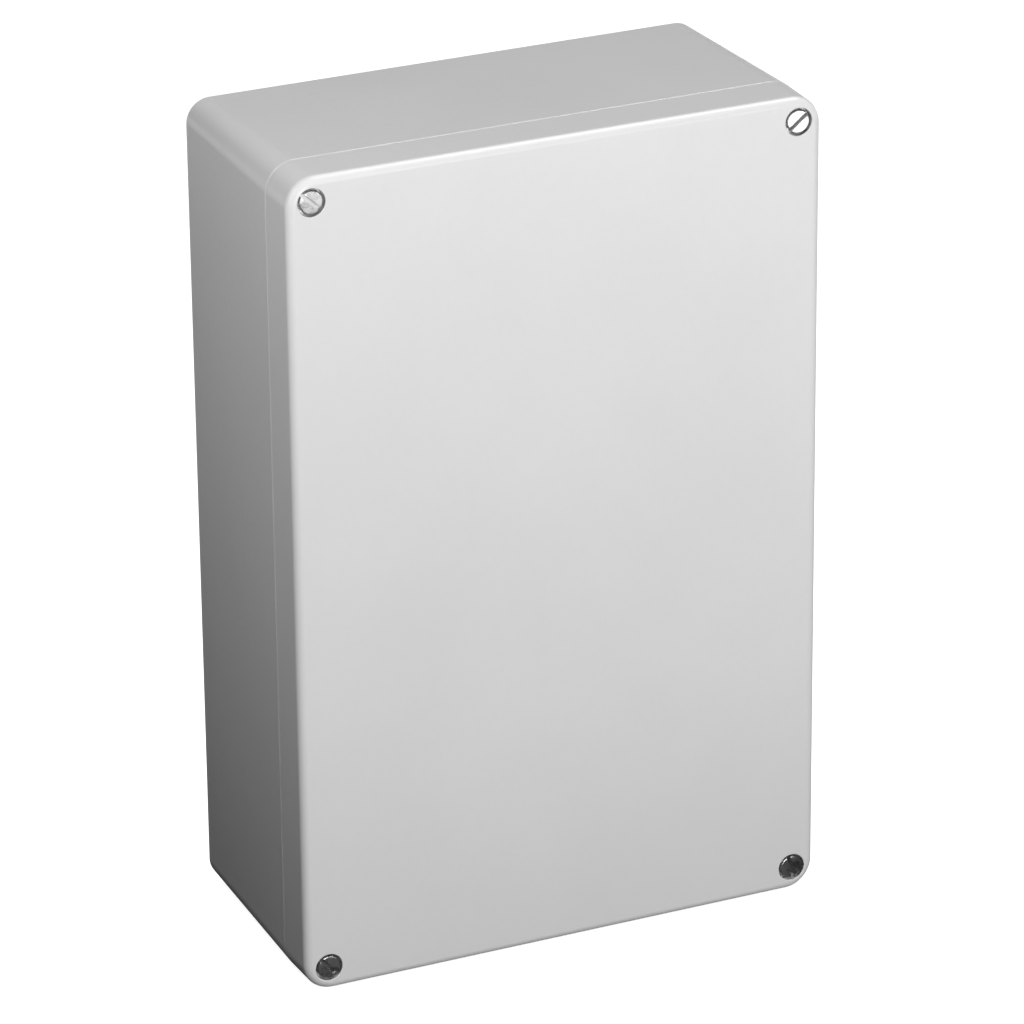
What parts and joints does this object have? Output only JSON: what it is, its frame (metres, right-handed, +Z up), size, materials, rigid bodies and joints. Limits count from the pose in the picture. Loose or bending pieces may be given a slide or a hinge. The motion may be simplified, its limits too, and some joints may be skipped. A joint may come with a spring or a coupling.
{
  "type": "die cast aluminium box",
  "caption": "Tall sealed cast enclosure with a deep base, a shallow lid held by captive slotted corner screws, inside fixing bosses and hidden wall mounting holes.",
  "frame": {"origin": "middle of the lowest side of the closed box, on the surface it stands on", "axes": "+Z up along the box's height, +X across its width to the viewer's right, the lid faces -Y"},
  "size_m": [0.23, 0.11, 0.35],
  "materials": {
    "cast_coated": "satin light grey coating on a fine cast surface",
    "seal_rubber": "matt black cord seal",
    "screw_steel": "bright turned stainless steel",
    "washer_steel": "plated spring steel",
    "collar_nylon": "natural nylon",
    "terminal_brass": "plain brass"
  },
  "bodies": {
    "base": {"housing_base": "cast_coated", "earth_screw": "terminal_brass", "earth_lock_washer": "washer_steel", "earth_clamp": "terminal_brass"},
    "lid": {"lid": "cast_coated", "lid_gasket": "seal_rubber", "lid_earth_screw": "terminal_brass", "lid_earth_lock_washer": "washer_steel", "lid_earth_clamp": "terminal_brass"},
    "collar_top_left": {"screw_collar_top_left": "collar_nylon"},
    "screw_top_left": {"lid_screw_top_left": "screw_steel"},
    "collar_top_right": {"screw_collar_top_right": "collar_nylon"},
    "screw_top_right": {"lid_screw_top_right": "screw_steel"},
    "collar_bottom_left": {"screw_collar_bottom_left": "collar_nylon"},
    "screw_bottom_left": {"lid_screw_bottom_left": "screw_steel"},
    "collar_bottom_right": {"screw_collar_bottom_right": "collar_nylon"},
    "screw_bottom_right": {"lid_screw_bottom_right": "screw_steel"}
  },
  "joints": [
    {"name": "lid_lift", "type": "slide", "parent": "base", "child": "lid", "axis": [0, -1, 0], "range_m": [0, 0.1]},
    {"name": "rise_top_left", "type": "slide", "parent": "lid", "child": "collar_top_left", "axis": [0, -1, 0], "range_m": [0, 0.007]},
    {"name": "turn_top_left", "type": "hinge", "parent": "collar_top_left", "child": "screw_top_left", "pos_m": [-0.1045, -0.034, 0.3395], "axis": [0, -1, 0], "range_deg": [0, 2520]},
    {"name": "rise_top_right", "type": "slide", "parent": "lid", "child": "collar_top_right", "axis": [0, -1, 0], "range_m": [0, 0.007]},
    {"name": "turn_top_right", "type": "hinge", "parent": "collar_top_right", "child": "screw_top_right", "pos_m": [0.1045, -0.034, 0.3395], "axis": [0, -1, 0], "range_deg": [0, 2520]},
    {"name": "rise_bottom_left", "type": "slide", "parent": "lid", "child": "collar_bottom_left", "axis": [0, -1, 0], "range_m": [0, 0.007]},
    {"name": "turn_bottom_left", "type": "hinge", "parent": "collar_bottom_left", "child": "screw_bottom_left", "pos_m": [-0.1045, -0.034, 0.0105], "axis": [0, -1, 0], "range_deg": [0, 2520]},
    {"name": "rise_bottom_right", "type": "slide", "parent": "lid", "child": "collar_bottom_right", "axis": [0, -1, 0], "range_m": [0, 0.007]},
    {"name": "turn_bottom_right", "type": "hinge", "parent": "collar_bottom_right", "child": "screw_bottom_right", "pos_m": [0.1045, -0.034, 0.0105], "axis": [0, -1, 0], "range_deg": [0, 2520]}
  ],
  "couplings": [
    {"joint": "turn_top_left", "follows": "rise_top_left", "rad_per_m": 6283.2},
    {"joint": "turn_top_right", "follows": "rise_top_right", "rad_per_m": 6283.2},
    {"joint": "turn_bottom_left", "follows": "rise_bottom_left", "rad_per_m": 6283.2},
    {"joint": "turn_bottom_right", "follows": "rise_bottom_right", "rad_per_m": 6283.2}
  ]
}
